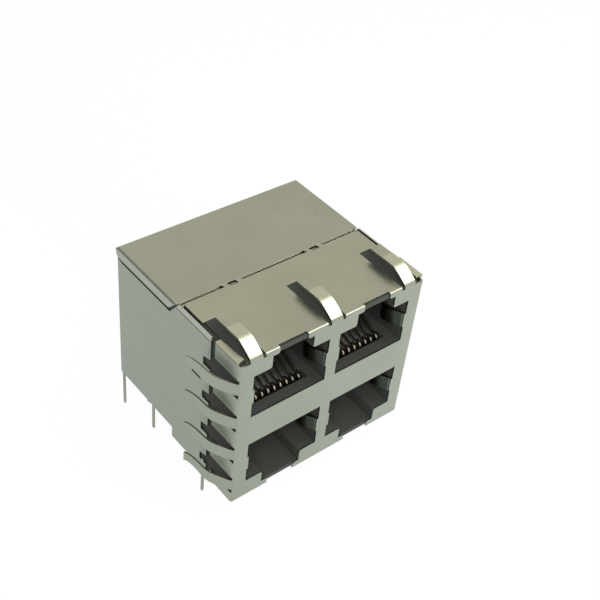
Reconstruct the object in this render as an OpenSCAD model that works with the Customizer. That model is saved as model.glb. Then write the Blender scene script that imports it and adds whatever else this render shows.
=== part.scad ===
// Shielded modular jack for a circuit board: four ports in two rows of two.
// Millimetres. X to the right, Y from the front face to the back, Z up.
// The origin is the middle of the body on the board surface, the plane that
// the standoff pads sit on. Pegs, tabs and contact tails reach below it.
// Upper ports have their latch notch at the top, lower ports at the bottom.

/* [Body] */
// Width over the side panels
body_w = 30.7; // [29:0.1:33]
// Depth from the front face to the back panel
body_d = 28.1; // [26:0.1:32]
// Height of the front shield, bottom edge to top plate
front_h = 25.7; // [25:0.1:27]
// Height of the rear cover above the shield's bottom edge
cover_h = 25.5; // [24.8:0.1:26.9]
// Thickness of the shield sheet
sheet_t = 0.25; // [0.2:0.05:0.3]
// Gap between the board and the shield's bottom edge
standoff_h = 0.8; // [0.5:0.1:1.5]

/* [Ports] */
// Distance between the port centres of one row
port_pitch = 13.97; // [13.6:0.01:14.6]
// Width of the plug opening
port_w = 12.2; // [11.9:0.1:12.6]
// Height of the plug opening without the latch notch
port_h = 7.3; // [6.9:0.1:7.6]
// Distance from the shield's bottom edge to the lower plug opening
port_edge = 2.95; // [2.7:0.05:3.2]
// Width of the latch notch
latch_w = 6.6; // [6.2:0.1:7]
// Height of the latch notch
latch_h = 2; // [1.7:0.1:2.2]
// Width of the narrow key at the end of the notch
key_w = 4.5; // [4:0.1:5]
// Depth of the plug cavity
cavity_d = 13.2; // [12:0.1:14.5]

/* [Spring fingers] */
// Width of a spring finger where it leaves the front fold
finger_w = 1.9; // [1.4:0.1:2.2]
// Width of a side finger at its free end
finger_tip_w = 1.5; // [1:0.1:1.9]
// Clear space on each side of a finger
finger_gap = 0.5; // [0.35:0.05:0.6]
// Distance between the top fingers
top_finger_pitch = 12.83; // [12.4:0.01:13]
// How far the top fingers rise over the top plate
top_finger_rise = 1.66; // [0.8:0.02:2]
// Distance between the side fingers
side_finger_pitch = 6.04; // [5.9:0.02:6.12]
// How far the side fingers stand out at their free end
side_finger_out = 2.25; // [1.2:0.05:2.6]
// Height of the side windows that the side fingers leave through
side_window_h = 3.05; // [2.8:0.05:3.2]
// How far a side finger sits below the middle of its window
side_finger_drop = 0.1; // [0:0.05:0.3]
// Depth of the slots beside the top fingers
top_slot_d = 8.85; // [8.4:0.05:9.2]

/* [Shield seams] */
// Depth of the front shield's side tabs
flange_d = 5.1; // [4.2:0.1:5.4]
// Front edge of the rear shield's side panels
panel_front = 6; // [5.6:0.1:6.6]
// End of the flat top plate
plate_end = 12.95; // [12.4:0.05:13]
// Front edge of the rear cover
cover_front = 13.65; // [13.4:0.05:14.2]
// Depth of the trench between the top plate and the cover, below the cover
trench_h = 0.12; // [0.08:0.01:0.3]
// Height of the lips that hang from the cover's sides
lip_h = 1.55; // [1.2:0.05:1.8]
// How far the lips stand out from the side panels
lip_out = 0.2; // [0.15:0.01:0.3]
// Height of the band at the top of each side panel that leans inward
band_h = 0.75; // [0.6:0.05:1]
// How far that band leans in
band_in = 0.05; // [0.05:0.05:0.3]
// Height of the opening under the rear part of each side panel
rear_gap_h = 2; // [1.6:0.1:2.2]
// Where the side panels step up
rear_gap_y = 14.3; // [14:0.1:15]

/* [Contacts] */
// Distance between neighbouring contacts
contact_pitch = 1.02; // [1:0.01:1.04]
// Width of a contact wire
contact_w = 0.46; // [0.35:0.01:0.5]
// Thickness of a contact wire
contact_t = 0.3; // [0.2:0.05:0.35]
// Slope of the sprung part of a contact, in degrees
contact_slope = 21; // [18:1:24]
// Length of the sprung part of a contact
contact_l = 11.3; // [9:0.1:11.6]
// Length of the contact tails below the board surface
tail_l = 2.9; // [2.4:0.1:3.4]

/* [Fixing] */
// Diameter of the two locating pegs
peg_d = 3.2; // [2.8:0.1:3.4]
// Length of the pegs below the board surface
peg_l = 2.6; // [2:0.1:3]
// Distance between the pegs
peg_pitch = 17.78; // [16:0.02:19]
// Length of the shield's ground tabs below the board surface
tab_l = 3.6; // [3:0.1:4]
// Width of a ground tab
tab_w = 0.42; // [0.3:0.02:0.9]

/* [Hidden] */
sides = ["ul", "ur", "ll", "lr"];
steel = [0.68, 0.69, 0.64];
black = [0.13, 0.13, 0.12];
gold = [0.85, 0.68, 0.32];
t = sheet_t;
e = 0.02;                                    // overshoot of a cutting body
xr = body_w / 2;                             // right side plane
yf = -body_d / 2;                            // front plane
yb = body_d / 2;                             // back plane
z0 = standoff_h;                             // bottom edge of the shield
zt = z0 + front_h;                           // top of the top plate
zc = z0 + cover_h;                           // top of the rear cover
zmid = z0 + front_h / 2;
pf = zt - port_edge - port_h;                // floor of an upper plug opening
pc = z0 + port_edge + port_h;                // ceiling of a lower plug opening
fold_r = 0.3;                                // outer radius of the front fold
cover_r = 0.7;                               // outer radius of the cover's rear fold
lip_r = 0.45;                                // outer radius of the folds to the lips
lip_end_r = 0.75;                            // radius of a lip's rear corner
edge_r = 0.3;                                // outer radius of the upright folds
win_top = zt - 2.7;                          // top of the highest side window
root_in = 0.95;                              // room behind the roots of the side fingers
root_d = 0.85;
window_tops = [for (i = [0:3]) win_top - i * side_finger_pitch];
notch_up = 0.2;                              // the panel notches end this far above the windows' sills
lip_end = zc - lip_h;                        // lower edge of the cover's lips
lip_gap = 0.7;                               // between a lip and the side panel below it
corner_top = lip_end - 0.3;                  // top of the upright rear folds
snap_h = 0.33;                               // height of the snap slots in the side panels
panel_top = lip_end - lip_gap;
tab_lip = 0.2;                               // the front tab's lip lies this far above the plate
tab_lip_out = 0.12;                          // and this far outside the side planes
plate_in = 0.68;                             // the top plate ends this far inside the side planes
side_slot = 1.4;                             // its front corners start this far inside them
block_d = 15;                                // depth of the housing block
block_end = yf + block_d;                    // back of the housing block
joggle_end = yf + plate_end + 3.25;          // the front shield reaches this far under the cover
zj = zc - t - trench_h;                      // top of that joggle, the trench floor
module_gap = 0.1;                            // between the two contact modules
module_back = yb - t;
module_top = zc - 2 * t;
tongue_w = 9.2;
tongue_t = 1.5;
tongue_front = yf + 3.4;
run_in = 0.56;                               // wire centre below the tongue's face
bend_front = 2.5;                            // the contacts' bends start this far behind the front face
bend_r = 0.45;
tail_bend_r = 0.7;                           // middle radius of the bend down to a tail
row_gap = 1.9;
row_b = block_end + 1.6;                     // tails of the lower ports
row_a = row_b + 2 * row_gap;                 // tails of the upper ports
comb_w = 0.68;                               // slots that guide the contacts' free ends
comb_front = 11.6;
comb_low = 3.2;
comb_high = 5.6;
pad_w = 2.2;                                 // front standoff pads
pad_x = 12.6;
pad_y = 2.6;
key_edge_r = 0.35;
key_in = 0.55;                               // the upper keys reach this far into the top plate
seam_x = 6.905;                              // middle of a pair of seam ribs
seam_hole_w = 1.33;
seam_rib_w = 0.8;
seam_bar_h = 0.22;                           // height of the bar in a seam hole over the trench floor
tab_rows = [yf + 6.75, yb - 0.8];            // straight ground tabs
mid_tab_y = yb - 7.55;                       // the ground tab that steps inward
mid_tab_in = 0.8;

function unit(v) = v / norm(v);
function tangent(p, i) = unit(p[min(i + 1, len(p) - 1)] - p[max(i - 1, 0)]);
// a line moved sideways by d, and the band between two such lines
function shifted(p, d) = [for (i = [0:len(p) - 1]) let (u = tangent(p, i)) p[i] + d * [-u[1], u[0]]];
function reversed(p) = [for (i = [len(p) - 1:-1:0]) p[i]];
function band(p, a, b) = concat(shifted(p, a), reversed(shifted(p, b)));
function arc(c, r, a0, a1, n) = [for (i = [0:n]) let (a = a0 + (a1 - a0) * i / n) c + r * [cos(a), sin(a)]];
// a smooth line through given points
function cat(a, b, c, d, u) =
    b + 0.5 * u * (c - a + u * (2 * a - 5 * b + 4 * c - d + u * (3 * b - a - 3 * c + d)));
function smooth(p, n) = concat([for (i = [0:len(p) - 2], k = [0:n - 1])
    cat(p[max(i - 1, 0)], p[i], p[i + 1], p[min(i + 2, len(p) - 1)], k / n)], [p[len(p) - 1]]);
function flipx(p) = [for (q = p) [-q[0], q[1]]];

// prisms along each axis
module along_x(a, b) { translate([a, 0, 0]) rotate([90, 0, 90]) linear_extrude(b - a) children(); }
module along_y(a, b) { translate([0, b, 0]) rotate([90, 0, 0]) linear_extrude(b - a) children(); }
module along_z(a, b) { translate([0, 0, a]) linear_extrude(b - a) children(); }
module box(a, b) { translate(a) cube(b - a); }

// outline of an upper plug opening about x = 0, up to height top; rounded sheet corners at the steps
function opening(w, top) = let (r = key_edge_r, a = w / 2, b = latch_w / 2, c = key_w / 2,
        h1 = pf + port_h, h2 = h1 + latch_h)
    let (right = concat([[a, pf], [a, h1]],
        arc([b + r, h1 + r], r, 270, 180, 5), [[b, h2]],
        arc([c + r, h2 + r], r, 270, 180, 5), [[c, top]]))
    concat(right, reversed(flipx(right)));

// ---------------------------------------------------------------- front shield
// outer lines of the fingers: distance from the front face, distance from the plate or the side plane
top_pts = [[0, -0.6], [0, -0.2], [0.22, 0.16], [0.9, 0.66], [1.9, 1.25], [2.7, 1.58], [3.4, top_finger_rise],
    [4.4, top_finger_rise], [5.5, top_finger_rise - 0.06], [6.5, top_finger_rise - 0.1],
    [7.5, top_finger_rise - 0.1]];
side_reach = 2.25;                           // the line below ends this far out
s_out = side_finger_out / side_reach;
side_pts = [[0, -0.85], [0.01, -0.6], [0.08, -0.36], [0.28, -0.1], [0.67, 0.19], [1.2, 0.52], [1.8, 0.86],
    [2.5, 1.23], [3.2, 1.53], [3.8, 1.67], [4.5, 1.72], [5.4, 1.75], [6.3, 1.79], [7, 1.88], [7.5, 2],
    [8.1, side_reach]];

module top_finger() {
    along_x(-finger_w / 2, finger_w / 2)
        polygon(band([for (q = smooth(top_pts, 4)) [yf + q[0], zt + q[1]]], 0, -t));
}

// upper or lower edge of a side finger, which narrows towards its free end
function taper(s) = [[yf - 1, s * finger_w / 2], [yf + 4, s * finger_w / 2],
    [yf + 7.3, s * finger_tip_w / 2], [yf + 9, s * finger_tip_w / 2]];

// a finger on the left side, centred on height 0
module side_finger() {
    intersection() {
        along_z(-finger_w / 2, finger_w / 2)
            polygon(band([for (q = smooth(side_pts, 4)) [-xr - q[1] * s_out, yf + q[0]]], 0, -t));
        along_x(-xr - 4, -xr + 1.2)
            polygon(concat(taper(1), reversed(taper(-1))));
    }
}

// grounding spring folded in from the left edge of a plug opening about x = 0
spring_pts = [[0.02, 0], [0.35, 0.06], [0.8, 0.3], [1.5, 0.72], [2.2, 1.02], [2.8, 1.1], [3.4, 0.95]];
module port_spring(zm) {
    along_z(zm - 1.2, zm + 1.2) {
        polygon(band([for (q = smooth(spring_pts, 3)) [-port_w / 2 + q[1], yf + q[0]]], 0, -t));
        translate([-port_w / 2, yf]) polygon([[-0.2, 0], [0.12, 0], [0.2, 0.06], [t, 0.16],
            [t, t + 0.03], [0, t], [-0.2, t]]);
    }
}

module port_hole(upper) {
    mirror([0, 0, upper ? 0 : 1]) translate([0, 0, upper ? 0 : -2 * zmid])
        along_y(yf - 1, yf + t + e) polygon(opening(port_w, zt + 1));
}

module front_sheet() {
    // front panel, fold, top plate, and the joggle that runs under the rear cover
    along_x(-xr + edge_r, xr - edge_r) polygon(concat([[yf, z0]],
        arc([yf + fold_r, zt - fold_r], fold_r, 180, 90, 6),
        [[yf + plate_end, zt], [yf + plate_end, zj], [joggle_end, zj], [joggle_end, zj - t],
        [yf + plate_end - 0.3, zj - t], [yf + plate_end - 0.3, zt - t]],
        arc([yf + fold_r, zt - fold_r], fold_r - t, 90, 180, 6), [[yf + t, z0]]));
    // ribs that carry the plate's level to the cover
    for (s = [-1, 1], r = [-1, 1]) translate([s * seam_x + r * (seam_hole_w + seam_rib_w) / 2, 0, 0])
        along_x(-seam_rib_w / 2, seam_rib_w / 2) let (p = yf + plate_end)
            polygon([[p - 0.1, zj], [p - 0.1, zt], [p + 0.1, zt], [yf + cover_front, zc],
                [yf + cover_front, zj]]);
}

// what is cut from the front sheet at its edges and round the top fingers
module front_cuts() {
    for (s = [-1, 1]) {
        translate([s * port_pitch / 2, yf, zt]) box([-key_w / 2, -1, -2], [key_w / 2, key_in, 1]);
        // holes between the ribs of the seam
        translate([s * seam_x, 0, 0]) box([-seam_hole_w / 2, yf + plate_end - 0.15, zj - 1],
            [seam_hole_w / 2, yf + cover_front + 0.5, zt + 1]);
    }
    for (s = [0, 1]) mirror([s, 0, 0]) {
        // the plate is narrower than the panel, and its outer slots are open to the sides
        box([-xr - 1, yf + 1, zt - 1.5], [-xr + plate_in, yb, zt + 1]);
        box([-xr - 1, yf - 1, zt - 0.5], [-xr + side_slot, yf + top_slot_d, zt + 1]);
    }
    for (k = [-1:1]) box([k * top_finger_pitch - finger_w / 2 - finger_gap, yf - 1, zt - 0.5],
        [k * top_finger_pitch + finger_w / 2 + finger_gap, yf + top_slot_d, zt + 1]);
}

// a side tab folded back from the front panel, with its windows and the lip along its top
module side_tab() {
    difference() {
        along_z(z0, zt - t + tab_lip) polygon(concat([[-xr + t + 0.2, yf]],
            arc([-xr + edge_r, yf + edge_r], edge_r, 270, 180, 5),
            [[-xr, yf + flange_d], [-xr + t, yf + flange_d], [-xr + t, yf + t], [-xr + t + 0.2, yf + t]]));
        for (w = window_tops)
            box([-xr - 1, yf + 0.1, w - side_window_h], [-xr + t + e, yf + flange_d + 1, w]);
        // relief at the corner below the lip
        box([-xr - 1, yf - 1, zt - 0.42], [-xr + 1, yf + 0.5, zt + 1]);
    }
    along_z(zt - t + tab_lip, zt + tab_lip) polygon([[-xr - tab_lip_out, yf + 0.5], [-xr + 1, yf + 0.62],
        [-xr + plate_in, yf + flange_d - 0.1], [-xr - tab_lip_out, yf + flange_d - 0.1]]);
}

module front_shield() {
    color(steel) {
        difference() {
            front_sheet();
            // the plug openings, whose keys run out through the top fold and the bottom edge
            for (s = [-1, 1], u = [true, false]) translate([s * port_pitch / 2, 0, 0]) port_hole(u);
            front_cuts();
        }
        // bar across each seam hole
        for (s = [-1, 1]) translate([s * seam_x, yf + plate_end + 0.38, zj])
            box([-seam_hole_w / 2 - 0.1, -0.08, -t], [seam_hole_w / 2 + 0.1, 0.08, seam_bar_h]);
        for (k = [-1:1]) translate([k * top_finger_pitch, 0, 0]) top_finger();
        for (s = [0, 1]) mirror([s, 0, 0]) {
            side_tab();
            for (w = window_tops) translate([0, 0, w - side_window_h / 2 - side_finger_drop]) side_finger();
        }
        for (px = [-1, 1], s = [0, 1], zm = [pf + 3.7, 2 * zmid - pf - 3.7])
            translate([px * port_pitch / 2, 0, 0]) mirror([s, 0, 0]) port_spring(zm);
    }
}

// ---------------------------------------------------------------- rear shield
module side_panel() {
    difference() {
        union() {
            along_x(-xr, -xr + t) polygon([[yf + panel_front, z0 + 0.2], [yf + rear_gap_y, z0 + 0.2],
                [yf + rear_gap_y, z0 + rear_gap_h], [yb - edge_r, z0 + rear_gap_h],
                [yb - edge_r, zt - band_h], [yf + panel_front, zt - band_h]]);
            // the band that leans inward, above a scored bend
            let (h = zt - band_h, x = -xr + band_in) along_y(yf + panel_front, yf + cover_front + 1)
                polygon([[-xr, h - 0.06], [-xr + 0.08, h], [-xr + 0.01, h + 0.06], [x, zt - 0.04],
                    [x + 0.2, zt - 0.04], [-xr + t, h + 0.06], [-xr + t, h - 0.06]]);
        }
        // notches that leave the side fingers free
        for (w = window_tops, n = w - side_window_h + notch_up, p = yf + panel_front)
            along_x(-xr - 1, -xr + 1)
                polygon([[p - 1, w - 0.9], [p, w - 1.08], [p + 1.5, w - 1.5], [p + 1.5, n], [p - 1, n]]);
        // the cover's lip hangs in this recess
        let (c = yf + cover_front) along_x(-xr - 1, -xr + 1) polygon([[c - 0.4, zt + 1], [c - 0.4, zt - 0.05],
            [c + 1.5, panel_top], [yb - 1.3, panel_top], [yb, corner_top], [yb, zt + 1]]);
        // snap slot
        translate([-xr, yf + panel_front + 2.9, zt - 8.585]) box([-1, -1, -snap_h / 2], [1, 1, snap_h / 2]);
    }
    // ground tabs with pointed ends
    let (h = z0 + rear_gap_h, w = tab_w / 2) for (y = tab_rows) along_x(-xr, -xr + t)
        polygon([[y - w, h + 0.4], [y - w, 0.3 - tab_l], [y - 0.12, -tab_l],
            [y + 0.12, -tab_l], [y + w, 0.3 - tab_l], [y + w, h + 0.4]]);
    let (h = z0 + rear_gap_h, x = -xr + mid_tab_in) along_y(mid_tab_y - tab_w / 2, mid_tab_y + tab_w / 2)
        polygon([[-xr, h + 0.3], [-xr, h - 0.25], [x, h - 1.05], [x, 0.2 - tab_l], [x + 0.06, -tab_l],
            [x + t - 0.06, -tab_l], [x + t, 0.2 - tab_l], [x + t, h - 0.95],
            [-xr + t, h - 0.15], [-xr + t, h + 0.3]]);
}

// the cover's side fold and lip, with slanted ends
module cover_lip() {
    c = [-xr - lip_out + lip_r, zc - lip_r];
    front = yf + cover_front;
    intersection() {
        along_y(front, yb) polygon(concat([[-xr - lip_out, lip_end]], arc(c, lip_r, 180, 90, 6),
            [[c[0] + 0.1, zc], [c[0] + 0.1, zc - t]], arc(c, lip_r - t, 90, 180, 6),
            [[-xr - lip_out + t, lip_end]]));
        along_x(-xr - 1, -xr + 1) polygon(concat([[front, zc - 0.05], [front, zc]],
            arc([yb - cover_r, zc - cover_r], cover_r, 90, 30, 4),
            arc([yb - lip_end_r - 0.2, lip_end + lip_end_r], lip_end_r, 0, -90, 5),
            [[front + 1.75, lip_end], [front + 1.35, lip_end + 0.15], [front + 0.5, zc - 0.45]]));
    }
}

module rear_shield() {
    color(steel) {
        // back panel folded into the cover
        along_x(-xr + edge_r, xr - edge_r) polygon(concat([[yb, z0 + rear_gap_h]],
            arc([yb - cover_r, zc - cover_r], cover_r, 0, 90, 6),
            [[yf + cover_front, zc], [yf + cover_front, zc - t]],
            arc([yb - cover_r, zc - cover_r], cover_r - t, 90, 0, 6), [[yb - t, z0 + rear_gap_h]]));
        for (s = [0, 1]) mirror([s, 0, 0]) {
            cover_lip();
            side_panel();
            // the fold between the back panel and the side panel
            let (c = [-xr + edge_r, yb - edge_r]) along_z(z0 + rear_gap_h, corner_top)
                polygon(concat([[c[0] + 0.1, yb]], arc(c, edge_r, 90, 180, 5),
                    arc(c, edge_r - t, 180, 90, 5), [[c[0] + 0.1, yb - t]]));
        }
    }
}

// ---------------------------------------------------------------- housing
// plug cavity of an upper port about x = 0, with its latch channel
module cavity() {
    box([-port_w / 2, yf - 1, pf], [port_w / 2, yf + cavity_d, pf + port_h]);
    box([-latch_w / 2, yf - 1, pf + port_h - 1], [latch_w / 2, yf + cavity_d, pf + port_h + latch_h]);
    // bay for the contact module's tongue, and the pocket round the contact bends
    box([-tongue_w / 2, tongue_front, pf - tongue_t], [tongue_w / 2, block_end + 1, pf + 1]);
    box([-tongue_w / 2, yf + bend_front - 0.7, pf - 1], [tongue_w / 2, tongue_front + 0.1, pf + 1]);
    // comb slots for the free ends of the contacts
    for (i = [0:7]) translate([(i - 3.5) * contact_pitch, yf, pf])
        box([-comb_w / 2, comb_front, comb_low], [comb_w / 2, cavity_d + 1.1, comb_high]);
}

// the cavities of an upper port and the lower port below it
module cavity_pair(s) {
    translate([s * port_pitch / 2, 0, 0]) for (u = [0, 1]) mirror([0, 0, u]) translate([0, 0, -2 * zmid * u])
        cavity();
}

module pad(x, y, w, d, z) { box([x - w / 2, y - d / 2, 0], [x + w / 2, y + d / 2, z]); }

module housing() {
    color(black) {
        difference() {
            along_x(-xr + t, xr - t) let (f = yf + t, p = yf + plate_end - 0.3)
                polygon([[f, z0 + 0.25], [f + 0.25, z0], [block_end, z0], [block_end, zj - t],
                    [p, zj - t], [p, zt - t], [yf + fold_r, zt - t], [f, zt - fold_r]]);
            for (s = [-1, 1]) cavity_pair(s);
            // relief under the raised rear part of the side panels
            for (s = [0, 1]) mirror([s, 0, 0])
                box([-xr, yf + rear_gap_y - 0.2, z0 - 1], [-xr + 3, block_end + 1, z0 + rear_gap_h + 0.1]);
            // rebates along the top edges, clear of the tabs' lips, the leaning bands and the cover's lips
            for (s = [0, 1]) mirror([s, 0, 0]) {
                box([-xr, yf - 1, zt - 0.6], [-xr + 1.1, block_end + 1, zt + 1]);
                box([-xr, yf - 1, zt - band_h - 0.1], [-xr + t + band_in, block_end + 1, zt + 1]);
                // chamfer behind the roots of the side fingers
                translate([-xr, yf]) along_z(z0 - 1, zt + 1)
                    polygon([[0, 0], [root_in, 0], [root_in, t], [t, root_d], [0, root_d]]);
            }
        }
        for (x = [-pad_x, pad_x]) pad(x, yf + pad_y, pad_w, pad_w, z0 + 0.1);
        pad(0, 0, 3.2, 1.6, z0 + 0.1);
        for (s = [-1, 1]) translate([s * peg_pitch / 2, yf + 8.9, 0]) {
            translate([0, 0, -0.01]) cylinder(h = z0 + 0.06, d = peg_d + 1.2, $fn = 48);
            translate([0, 0, -peg_l + 0.5]) cylinder(h = peg_l, d = peg_d, $fn = 48);
            translate([0, 0, -peg_l]) cylinder(h = 0.5, d1 = peg_d - 0.8, d2 = peg_d, $fn = 48);
        }
    }
}

// ---------------------------------------------------------------- contacts
// centre line of a contact of an upper port, from its free end to its tail
function wire(row, zrun, tip) =
    let (c = [yf + bend_front + contact_t / 2, zrun + bend_r], a = 90 + contact_slope)
    concat([c + bend_r * [cos(a), sin(a)] + contact_l * [cos(contact_slope), sin(contact_slope)]],
        arc(c, bend_r, a, 270, 9),
        arc([row - tail_bend_r, zrun - tail_bend_r], tail_bend_r, 90, 0, 5),
        [[row, tip]]);
// a contact of a lower port springs from the ceiling, so its line turns down after a mirrored start
function wire_low(row, zrun, tip) =
    let (c = [yf + bend_front + contact_t / 2, zrun - bend_r], a = 270 - contact_slope)
    concat([c + bend_r * [cos(a), sin(a)] + contact_l * [cos(contact_slope), -sin(contact_slope)]],
        arc(c, bend_r, a, 90, 9),
        arc([row - tail_bend_r, zrun - tail_bend_r], tail_bend_r, 90, 0, 5),
        [[row, tip]]);
function contact_row(upper, i) = (upper ? row_a : row_b) + (i % 2) * row_gap;
function contact_x(side, i) = side * port_pitch / 2 + (i - 4.5) * contact_pitch;

module contact_body(side, upper, i) {
    x = contact_x(side, i);
    row = contact_row(upper, i);
    line = upper ? wire(row, pf - run_in, -tail_l) : wire_low(row, pc + run_in, -tail_l);
    along_x(x - contact_w / 2, x + contact_w / 2) polygon(band(line, contact_t / 2, -contact_t / 2));
}
module contact(side, upper, i) { color(gold) contact_body(side, upper, i); }

// ---------------------------------------------------------------- contact modules
module contact_module(side) {
    x = side * port_pitch / 2;
    color(black) difference() {
        union() {
            mirror([side < 0 ? 1 : 0, 0, 0]) intersection() {
                let (a = module_gap / 2, b = xr - t, y = module_back) along_z(z0 + rear_gap_h, module_top)
                    polygon([[a, block_end], [b, block_end], [b, y - edge_r], [b - edge_r, y], [a, y]]);
                along_x(0, xr) polygon([[block_end, z0], [module_back, z0], [module_back, module_top - 0.4],
                    [module_back - 0.4, module_top], [block_end, module_top]]);
            }
            for (z = [pf - tongue_t, pc]) translate([x, 0, z])
                box([0.05 - tongue_w / 2, tongue_front, 0], [tongue_w / 2 - 0.05, block_end + 1, tongue_t]);
            for (s = [-1, 1]) pad(x + s * 3.5, yb - 2.5, 2, 2.4, z0 + rear_gap_h + 0.1);
        }
        for (i = [1:8]) { contact_body(side, true, i); contact_body(side, false, i); }
        // room under the cover for the end of the front shield's joggle
        box([x - xr, block_end - 1, zj - t - 0.01], [x + xr, joggle_end + 0.2, zc]);
    }
}
module contact_module_l() { contact_module(-1); }
module contact_module_r() { contact_module(1); }

front_shield();
rear_shield();
housing();
contact_module_l();
contact_module_r();
for (s = [0:3], i = [1:8])
    contact(s % 2 == 0 ? -1 : 1, s < 2, i);
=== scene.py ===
"""Shielded four-port modular jack: materials, light and camera round the fixed frame."""
import math

import bpy
import numpy as np
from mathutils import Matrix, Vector


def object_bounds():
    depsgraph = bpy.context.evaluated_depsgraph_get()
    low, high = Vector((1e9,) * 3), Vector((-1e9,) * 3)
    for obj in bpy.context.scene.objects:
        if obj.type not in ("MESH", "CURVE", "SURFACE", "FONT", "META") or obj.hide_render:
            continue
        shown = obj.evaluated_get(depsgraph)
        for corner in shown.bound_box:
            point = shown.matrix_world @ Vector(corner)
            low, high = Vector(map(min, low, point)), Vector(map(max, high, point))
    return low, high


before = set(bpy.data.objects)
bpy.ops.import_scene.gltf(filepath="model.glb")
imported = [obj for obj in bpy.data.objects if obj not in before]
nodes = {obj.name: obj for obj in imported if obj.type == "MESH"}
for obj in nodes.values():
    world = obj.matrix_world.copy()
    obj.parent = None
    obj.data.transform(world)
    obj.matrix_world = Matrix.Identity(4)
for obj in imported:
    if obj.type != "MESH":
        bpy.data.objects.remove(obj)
cad_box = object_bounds()
MM = 0.001
WHITE = (1, 1, 1, 1)


# ------------------------------------------------------------------ colour and node helpers
def linear(hexa):
    """sRGB hex to linear RGBA: c/12.92 below 0.04045, ((c+0.055)/1.055)^2.4 above."""
    c = np.array([int(hexa[i:i + 2], 16) for i in (1, 3, 5)]) / 255
    c = np.where(c <= 0.04045, c / 12.92, ((c + 0.055) / 1.055) ** 2.4)
    return (*c.tolist(), 1.0)


def add(tree, kind, settings=None, values=None, links=None):
    """One node: its settings, its socket values, and links given as {input: output socket}."""
    n = tree.nodes.new(kind)
    for k, v in (settings or {}).items():
        setattr(n, k, v)
    for k, v in (values or {}).items():
        n.inputs[k].default_value = v
    for k, v in (links or {}).items():
        tree.links.new(v, n.inputs[k])
    return n


def blank(name):
    """An empty node material and its tree."""
    m = bpy.data.materials.new(name)
    m.use_nodes = True
    m.node_tree.nodes.clear()
    return m, m.node_tree


def per_mm(size):
    """Noise scale for features of this size in millimetres."""
    return 1 / (size * MM)


# ------------------------------------------------------------------ metals
def zone(tree, xyz, limits):
    """1 inside a box of soft-edged limits, given in mm as (socket name, from 0, to 1); X counts
    from the middle to both sides."""
    wide = add(tree, "ShaderNodeMath", {"operation": "ABSOLUTE"}, links={0: xyz.outputs["X"]}).outputs[0]
    inside = None
    for axis, low, high in limits:
        side = add(tree, "ShaderNodeMapRange", values={"From Min": low * MM, "From Max": high * MM},
                   links={"Value": wide if axis == "X" else xyz.outputs[axis]}).outputs[0]
        inside = side if inside is None else add(tree, "ShaderNodeMath", {"operation": "MULTIPLY"},
                                                 links={0: inside, 1: side}).outputs[0]
    return inside


def tinned_sheet(name, hex_low, hex_high, rough, grain, zones):
    """Tin-plated strip, cold rolled, stamped and folded: a satin grey-green metal. To the eye that
    gives very faint rolling lines along the grain, drawn 0.25 mm apart because the real 0.05 mm
    would not show, plating clouds about 9 mm across, and a few dull specks of 0.3 mm. The zones
    are colours painted over boxes, painted highlights, painted shade and a darker line: (colour, share,
    limits)."""
    m, t = blank(name)
    at = add(t, "ShaderNodeTexCoord").outputs["Object"]
    along = [per_mm(8) if axis == grain else per_mm(0.25) for axis in "XYZ"]
    lines_at = add(t, "ShaderNodeMapping", values={"Scale": along}, links={"Vector": at}).outputs[0]
    lines = add(t, "ShaderNodeTexNoise", values={"Scale": 1.0, "Detail": 2.0},
                links={"Vector": lines_at}).outputs[0]
    cloud = add(t, "ShaderNodeTexNoise", values={"Scale": per_mm(9), "Detail": 3.0},
                links={"Vector": at}).outputs[0]
    speck = add(t, "ShaderNodeTexNoise", values={"Scale": per_mm(0.45), "Detail": 1.0},
                links={"Vector": at}).outputs[0]
    tone = add(t, "ShaderNodeMath", {"operation": "MULTIPLY_ADD"}, {1: 0.15},
               {0: lines, 2: cloud}).outputs[0]
    tone = add(t, "ShaderNodeMapRange", values={"From Min": 0.33, "From Max": 0.83},
               links={"Value": tone}).outputs[0]
    colour = add(t, "ShaderNodeMix", {"data_type": "RGBA"}, {"A": linear(hex_low), "B": linear(hex_high)},
                 {"Factor": tone}).outputs["Result"]
    worn = add(t, "ShaderNodeMapRange", values={"From Min": 0.7, "From Max": 0.78, "To Max": 0.18},
               links={"Value": speck}).outputs[0]
    colour = add(t, "ShaderNodeMix", {"data_type": "RGBA"}, {"B": linear("#4E5147")},
                 {"Factor": worn, "A": colour}).outputs["Result"]
    xyz = add(t, "ShaderNodeSeparateXYZ", links={"Vector": at})
    # the zones paint highlights and shade over the metal's own colour
    for hexa, amount, limits in zones:
        inside = add(t, "ShaderNodeMath", {"operation": "MULTIPLY"}, {1: amount},
                     {0: zone(t, xyz, limits)}).outputs[0]
        colour = add(t, "ShaderNodeMix", {"data_type": "RGBA"}, {"B": linear(hexa)},
                     {"Factor": inside, "A": colour}).outputs["Result"]
    satin = add(t, "ShaderNodeMapRange", values={"From Min": 0.3, "From Max": 0.7, "To Min": rough - 0.03,
                                                 "To Max": rough + 0.05}, links={"Value": cloud}).outputs[0]
    bump = add(t, "ShaderNodeBump", values={"Strength": 0.05, "Distance": 0.01 * MM},
               links={"Height": lines}).outputs[0]
    s = add(t, "ShaderNodeBsdfPrincipled", values={"Metallic": 1.0},
            links={"Base Color": colour, "Roughness": satin, "Normal": bump})
    add(t, "ShaderNodeOutputMaterial", links={"Surface": s.outputs[0]})
    return m


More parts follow.
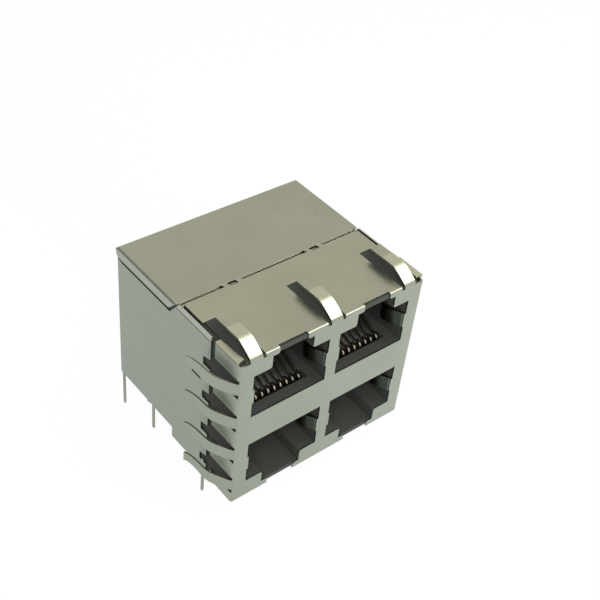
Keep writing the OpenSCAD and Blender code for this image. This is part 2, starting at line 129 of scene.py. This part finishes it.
def gold_wire(name, tin_below, middle, pitch, wire_bend):
    """Phosphor bronze spring wire, drawn round, then flashed with gold at the sprung end and
    bright-tin plated on the solder tail below the height tin_below. The sprung length is painted a dull dark
    grey, painted shade for the cavity's dark tone, and the crown of each bend is painted lighter and
    polished,
    a painted highlight that flashes: the bump rounds each wire about its own middle, at the contact pitch.
    Drawing marks run 0.08 mm apart."""
    m, t = blank(name)
    at = add(t, "ShaderNodeTexCoord").outputs["Object"]
    xyz = add(t, "ShaderNodeSeparateXYZ", links={"Vector": at})
    marks = add(t, "ShaderNodeTexNoise", values={"Scale": per_mm(0.08), "Detail": 1.0},
                links={"Vector": at}).outputs[0]
    # painted shade: the sprung length in dark grey, for the cavity's shade
    gold = add(t, "ShaderNodeMix", {"data_type": "RGBA"}, {"A": linear("#706D65"), "B": linear("#7A766D")},
               {"Factor": marks}).outputs["Result"]
    bend = zone(t, xyz, wire_bend)
    # painted highlight: the crown of each bend painted lighter
    gold = add(t, "ShaderNodeMix", {"data_type": "RGBA"}, {"B": linear("#A8A192")},
               {"Factor": bend, "A": gold}).outputs["Result"]
    tin = add(t, "ShaderNodeMix", {"data_type": "RGBA"}, {"A": linear("#8F918C"), "B": linear("#A9AAA3")},
              {"Factor": marks}).outputs["Result"]
    step = add(t, "ShaderNodeMapRange", values={"From Min": tin_below, "From Max": tin_below + 0.4 * MM},
               links={"Value": xyz.outputs["Z"]}).outputs[0]
    colour = add(t, "ShaderNodeMix", {"data_type": "RGBA"},
                 links={"Factor": step, "A": tin, "B": gold}).outputs["Result"]
    polish = add(t, "ShaderNodeMapRange", values={"To Min": 0.5, "To Max": 0.22},
                 links={"Value": bend}).outputs[0]
    wide = add(t, "ShaderNodeMath", {"operation": "ABSOLUTE"}, links={0: xyz.outputs["X"]}).outputs[0]
    turn = 2 * math.pi / pitch
    wave = add(t, "ShaderNodeMath", {"operation": "MULTIPLY_ADD"}, {1: turn, 2: -math.pi - middle * turn},
               {0: wide}).outputs[0]
    crown = add(t, "ShaderNodeMath", {"operation": "COSINE"}, links={0: wave}).outputs[0]
    crown = add(t, "ShaderNodeMath", {"operation": "MULTIPLY"}, links={0: crown, 1: bend}).outputs[0]
    bump = add(t, "ShaderNodeBump", values={"Strength": 1.0, "Distance": 0.16 * MM},
               links={"Height": crown}).outputs[0]
    s = add(t, "ShaderNodeBsdfPrincipled", values={"Metallic": 1.0},
            links={"Base Color": colour, "Roughness": polish, "Normal": bump})
    add(t, "ShaderNodeOutputMaterial", links={"Surface": s.outputs[0]})
    return m


# ------------------------------------------------------------------ plastics
def moulded_black(name, hex_low, hex_high, rough, grain):
    """Glass-filled thermoplastic, injection moulded in a spark-eroded tool: a charcoal that never
    goes fully black, with a matt grain of the given size in mm and slow flow marks 4 mm wide."""
    m, t = blank(name)
    at = add(t, "ShaderNodeTexCoord").outputs["Object"]
    flow_at = add(t, "ShaderNodeMapping", values={"Scale": (per_mm(4), per_mm(11), per_mm(4))},
                  links={"Vector": at}).outputs[0]
    flow = add(t, "ShaderNodeTexNoise", values={"Scale": 1.0, "Detail": 4.0},
               links={"Vector": flow_at}).outputs[0]
    spark = add(t, "ShaderNodeTexNoise", values={"Scale": per_mm(grain), "Detail": 3.0},
                links={"Vector": at}).outputs[0]
    colour = add(t, "ShaderNodeMix", {"data_type": "RGBA"}, {"A": linear(hex_low), "B": linear(hex_high)},
                 {"Factor": flow}).outputs["Result"]
    matt = add(t, "ShaderNodeMapRange", values={"To Min": rough - 0.08, "To Max": rough + 0.08},
               links={"Value": spark}).outputs[0]
    bump = add(t, "ShaderNodeBump", values={"Strength": 0.25, "Distance": 0.015 * MM},
               links={"Height": spark}).outputs[0]
    s = add(t, "ShaderNodeBsdfPrincipled", values={"IOR": 1.5, "Specular IOR Level": 0.12},
            links={"Base Color": colour, "Roughness": matt, "Normal": bump})
    add(t, "ShaderNodeOutputMaterial", links={"Surface": s.outputs[0]})
    return m


port_middle = 6.985 * MM       # middle of a port column, from the middle of the jack
contact_pitch = 1.02 * MM
tin_below = 2.6 * MM           # above the board
wire_bend = (("Y", -11.0, -11.2),)

# painted highlights and painted shade on the sheets, and one darker line: colour, share, limits in mm
port_shade_painted = ("#343732", 0.92,    # painted shade: the springs inside the ports painted near-black, as the cavity shades them
           (("X", 13.6, 13.4), ("Y", -13.78, -13.7), ("Z", 25.2, 25.0)))
slot_edge = (("Y", -5.26, -5.22), ("Y", -5.13, -5.17), ("Z", 26.2, 26.24))
slot_middle_highlight = ("#E6E4D6", 0.9, (*slot_edge, ("X", 1.46, 1.44)))    # painted highlight: the slots' sheared edges painted bright cream
# painted highlight on the outer slots' sheared edges too
slot_outer_highlight = ("#E6E4D6", 0.9, (*slot_edge, ("X", 11.36, 11.4)))
lip_top_highlight = ("#BEC1AE", 0.8,     # painted highlight: the folded lip of the side tab, painted lighter on top
           (("Z", 26.67, 26.69), ("Y", -8.9, -9.0)))
lip_side = ("#6C6D5E", 0.8,    # and painted darker on its side face, below its top: a dark line
            (("X", 15.44, 15.46), ("Z", 26.4, 26.44), ("Z", 26.7, 26.68), ("Y", -8.9, -9.0)))
bent_band_highlight = ("#C6CABC", 0.6,   # painted highlight: the fold from the side panel into the cover, painted bright
             (("X", 15.05, 15.15), ("Z", 25.76, 25.84), ("Y", 0.2, -0.4)))
lip_face_painted_light = ("#BCC0B2", 0.5,    # painted light: the cover's lip outside the side panel, painted lighter than the panel
            (("X", 15.36, 15.42), ("Y", -0.5, -0.4)))
crease_painted_shade = ("#6E7268", 0.9,      # painted shade: a dark line under the band, where the crease lies in shade
          (("X", 15.05, 15.15), ("Z", 25.62, 25.7), ("Z", 25.86, 25.78), ("Y", 0.2, -0.4)))
cut_face_highlight = ("#D6D4C6", 0.8,    # painted highlight: the cover's sheared front edge, painted cream
            (("Y", -0.34, -0.38), ("Z", 26.02, 26.06), ("X", 15.2, 15.1)))

finish = {
    "front_shield": tinned_sheet("tinned_spring_sheet", "#A0A495", "#ABAFA0", 0.31, "X",
                                 (port_shade_painted, slot_middle_highlight, slot_outer_highlight, lip_top_highlight, lip_side)),
    "rear_shield": tinned_sheet("tinned_steel_sheet", "#9EA395", "#A7AC9F", 0.34, "Y",
                                (bent_band_highlight, lip_face_painted_light, crease_painted_shade, cut_face_highlight)),
    "housing": moulded_black("black_pbt_housing", "#323431", "#3A3C38", 0.62, 0.12),
    # painted light: the carrier inside the ports painted lighter than the housing, to lift the cavity's shade
    "contact_module": moulded_black("black_lcp_carrier", "#41433F", "#494B47", 0.55, 0.09),
    "contact": gold_wire("gold_plated_bronze", tin_below, port_middle, contact_pitch, wire_bend),
}
for name, obj in nodes.items():
    kind = next(k for k in finish if name.startswith(k))
    obj.data.materials.clear()
    obj.data.materials.append(finish[kind])

# ------------------------------------------------------------------ floor, world and lamps
low = cad_box[0]


def floor_sheet():
    """A flat square, z constant just under the tab tips, of white paper: the camera and the metal
    see it as plain white, and it keeps the object's shadow."""
    s = 0.6
    mesh = bpy.data.meshes.new("floor")
    mesh.from_pydata([(-s, -s, low.z), (s, -s, low.z), (s, s, low.z), (-s, s, low.z)], [],
                     [(0, 1, 2, 3)])
    obj = bpy.data.objects.new("floor", mesh)
    bpy.context.scene.collection.objects.link(obj)
    m, t = blank("white_paper_sweep")
    path = add(t, "ShaderNodeLightPath")
    lit = add(t, "ShaderNodeBsdfDiffuse", values={"Color": linear("#E4E6E5")})
    glow = add(t, "ShaderNodeEmission", values={"Color": WHITE, "Strength": 1.0})
    # the sweep falls off slowly to the left, as the metal sees it
    at = add(t, "ShaderNodeTexCoord").outputs["Object"]
    across = add(t, "ShaderNodeSeparateXYZ", links={"Vector": at}).outputs["X"]
    fall = add(t, "ShaderNodeMapRange", values={"From Min": -20 * MM, "From Max": 24 * MM,
                                                "To Min": 0.83, "To Max": 1.06},
               links={"Value": across}).outputs[0]
    sheen = add(t, "ShaderNodeEmission", values={"Color": linear("#ECF2F5")}, links={"Strength": fall})
    seen = add(t, "ShaderNodeMath", {"operation": "MULTIPLY"}, {1: 0.95},
               {0: path.outputs["Is Camera Ray"]}).outputs[0]
    mirrored = add(t, "ShaderNodeMath", {"operation": "MULTIPLY"}, {1: 0.7},
                   {0: path.outputs["Is Glossy Ray"]}).outputs[0]
    mix = add(t, "ShaderNodeMixShader", links={0: mirrored, 1: lit.outputs[0], 2: sheen.outputs[0]})
    mix = add(t, "ShaderNodeMixShader", links={0: seen, 1: mix.outputs[0], 2: glow.outputs[0]})
    add(t, "ShaderNodeOutputMaterial", links={"Surface": mix.outputs[0]})
    obj.data.materials.append(m)


floor_sheet()

world = bpy.data.worlds.new("studio")
bpy.context.scene.world = world
world.use_nodes = True
wt = world.node_tree
wt.nodes.clear()
path = add(wt, "ShaderNodeLightPath")
clear = add(wt, "ShaderNodeMath", {"operation": "MAXIMUM"},
            links={0: path.outputs["Is Camera Ray"], 1: path.outputs["Is Transmission Ray"]}).outputs[0]
soft = add(wt, "ShaderNodeBackground", values={"Color": linear("#F4F4EE"), "Strength": 0.5})
# the tent's open side, behind the object's left end, is dark: folds that face it show a dark line
ray = add(wt, "ShaderNodeTexCoord").outputs["Generated"]
open_side = Vector((-0.72, 0.52, 0.35)).normalized()
facing = add(wt, "ShaderNodeVectorMath", {"operation": "DOT_PRODUCT"}, {1: open_side},
             {0: ray}).outputs["Value"]
cloth = add(wt, "ShaderNodeMapRange", {"interpolation_type": "SMOOTHSTEP"},
            {"From Min": 0.74, "From Max": 0.92, "To Min": 0.9, "To Max": 0.28}, {"Value": facing}).outputs[0]
tent = add(wt, "ShaderNodeBackground", values={"Color": linear("#FDF6EA")}, links={"Strength": cloth})
white = add(wt, "ShaderNodeBackground", values={"Color": WHITE, "Strength": 1.0})
mix = add(wt, "ShaderNodeMixShader", links={0: path.outputs["Is Glossy Ray"], 1: soft.outputs[0],
                                            2: tent.outputs[0]})
mix = add(wt, "ShaderNodeMixShader", links={0: clear, 1: mix.outputs[0], 2: white.outputs[0]})
add(wt, "ShaderNodeOutputWorld", links={"Surface": mix.outputs[0]})


def lamp(name, towards, distance, size, power, mirrored=True):
    """A square soft box at distance along the direction from the object, facing it. A box that
    isn't mirrored lights the plastic and stays out of the metal's reflections."""
    data = bpy.data.lights.new(name, "AREA")
    data.shape, data.size, data.energy, data.color = "SQUARE", size, power, WHITE[:3]
    obj = bpy.data.objects.new(name, data)
    d = Vector(towards).normalized()
    obj.location = Vector((0, 0, 0.012)) + d * distance
    obj.rotation_euler = (-d).to_track_quat("-Z", "Y").to_euler()
    obj.visible_glossy = mirrored
    bpy.context.scene.collection.objects.link(obj)


lamp("key_box", (0.50, -0.33, 0.80), 0.45, 0.27, 0.78)
lamp("front_box", (-0.45, -0.55, 0.70), 0.6, 0.3, 3.4, False)
lamp("port_box", (-0.10, -1.00, 0.25), 0.6, 0.25, 2.8, False)

# ------------------------------------------------------------------ camera
cam_data = bpy.data.cameras.new("camera")
cam_data.lens = 60.68
cam_data.sensor_width = 36
cam_data.clip_start = 0.01
cam = bpy.data.objects.new("camera", cam_data)
cam.location = (-69.77 * MM, -80.66 * MM, 110.97 * MM)
cam.rotation_euler = [math.radians(a) for a in (49.395, -5.178, -38.880)]
bpy.context.scene.collection.objects.link(cam)
bpy.context.scene.camera = cam

bpy.context.scene.view_settings.view_transform = "Standard"
